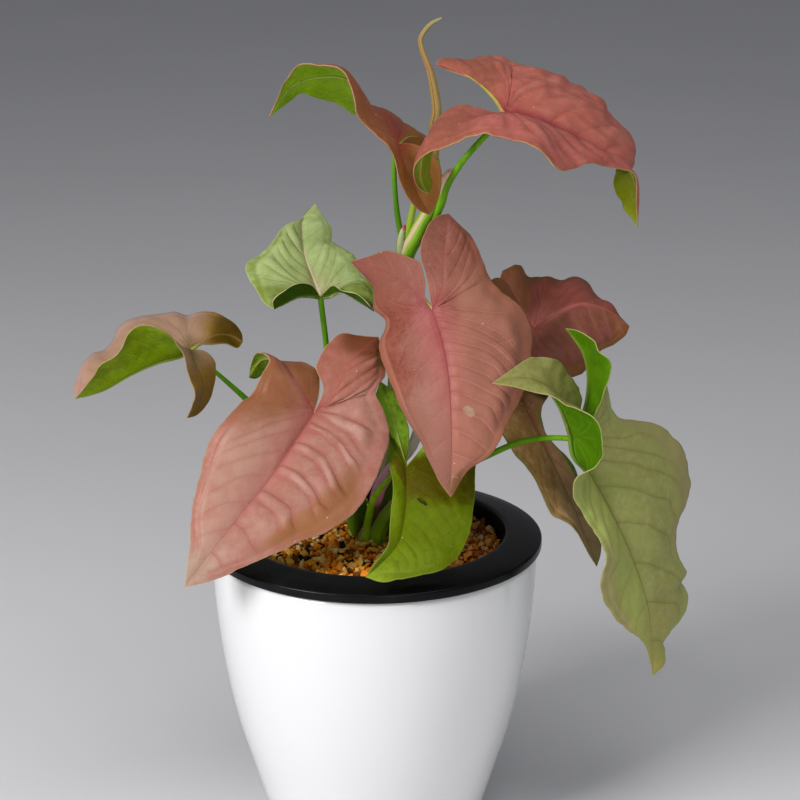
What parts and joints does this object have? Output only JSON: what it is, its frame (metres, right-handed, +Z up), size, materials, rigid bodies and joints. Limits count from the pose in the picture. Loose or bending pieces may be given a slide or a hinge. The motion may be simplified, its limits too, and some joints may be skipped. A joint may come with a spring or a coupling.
{
  "type": "potted arrowhead plant",
  "caption": "Arrowhead plant with pink and green arrow-shaped leaves on long stalks, standing in clay granules in a round white pot with a black rim liner.",
  "frame": {"origin": "centre of the pot's flat base, where it rests", "axes": "+Z up along the pot's axis; -Y is the plant's front, which its two large low leaves face; +X is to the right seen from the front"},
  "size_m": [0.2727, 0.1542, 0.3663],
  "materials": {
    "leaf_pink": "satin",
    "leaf_brown_pink": "satin",
    "leaf_dull_pink": "satin",
    "leaf_pale_green": "satin",
    "leaf_bright_green": "satin",
    "leaf_rolled": "satin",
    "stalk_green": "satin",
    "pot_white": "gloss",
    "liner_black": "satin",
    "granules": "matte"
  },
  "bodies": {
    "root": {"leaf_front_left": "leaf_pink", "leaf_centre": "leaf_pink", "leaf_top_right": "leaf_pink", "leaf_top_left": "leaf_brown_pink", "leaf_far_left": "leaf_brown_pink", "leaf_low_right": "leaf_brown_pink", "leaf_back_right": "leaf_dull_pink", "leaf_back_left": "leaf_pale_green", "leaf_right_drooping": "leaf_pale_green", "leaf_low_front": "leaf_bright_green", "stems": "stalk_green", "rolled_new_leaf": "leaf_rolled", "pot_shell": "pot_white", "pot_liner": "liner_black", "granules": "granules"}
  },
  "joints": []
}
